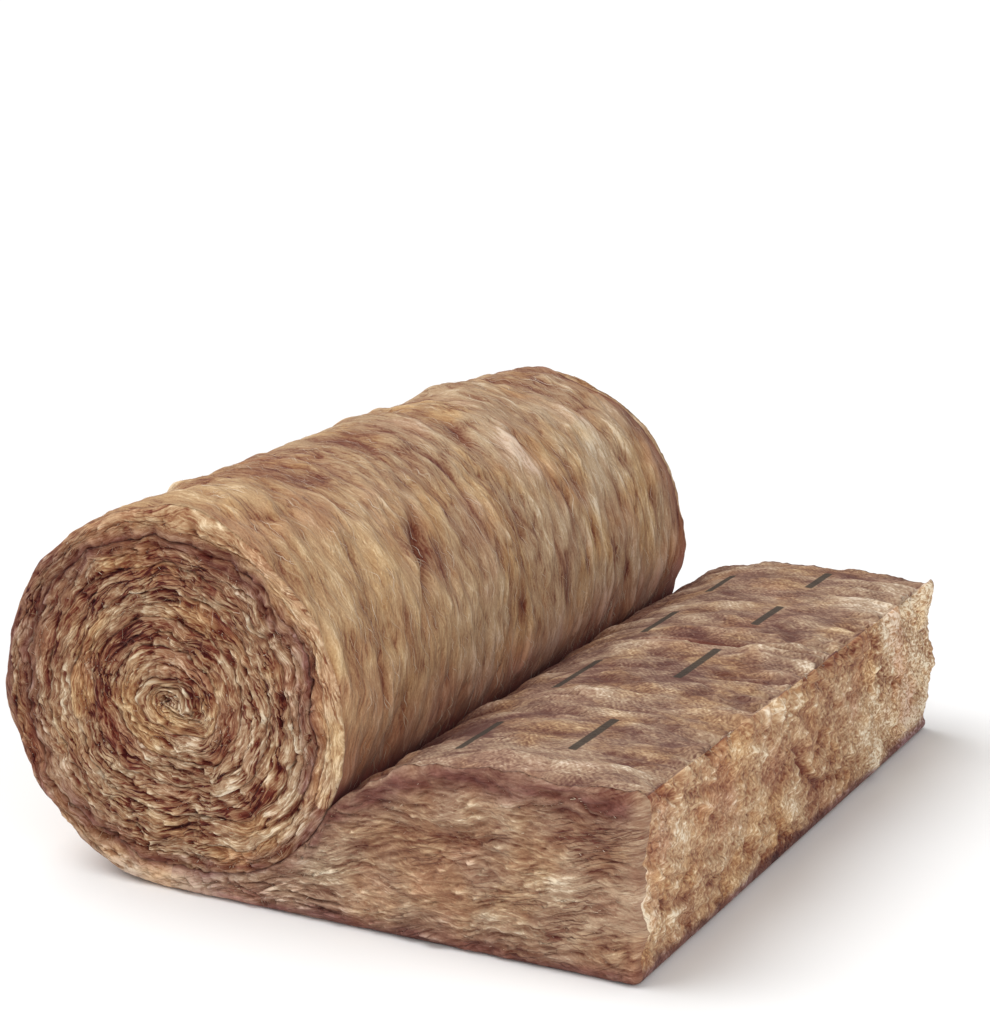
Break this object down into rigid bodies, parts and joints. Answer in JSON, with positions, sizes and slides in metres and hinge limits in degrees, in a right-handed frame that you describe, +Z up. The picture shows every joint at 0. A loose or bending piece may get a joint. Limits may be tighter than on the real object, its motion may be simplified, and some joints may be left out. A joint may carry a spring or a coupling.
{
  "type": "insulation roll",
  "caption": "Glass mineral wool loft roll lying partly unrolled, with a thick square-cut tail and its spiral turns on both ends.",
  "frame": {"origin": "on the floor, in the middle of the part's footprint", "axes": "+X from the roll towards the tail's cut end, +Y along the roll's axis (the mat's width), +Z up"},
  "size_m": [0.9829, 1.2, 0.5439],
  "materials": {
    "mineral_wool": "matt fibrous"
  },
  "bodies": {
    "root": {"wool_mat": "mineral_wool"}
  },
  "joints": []
}
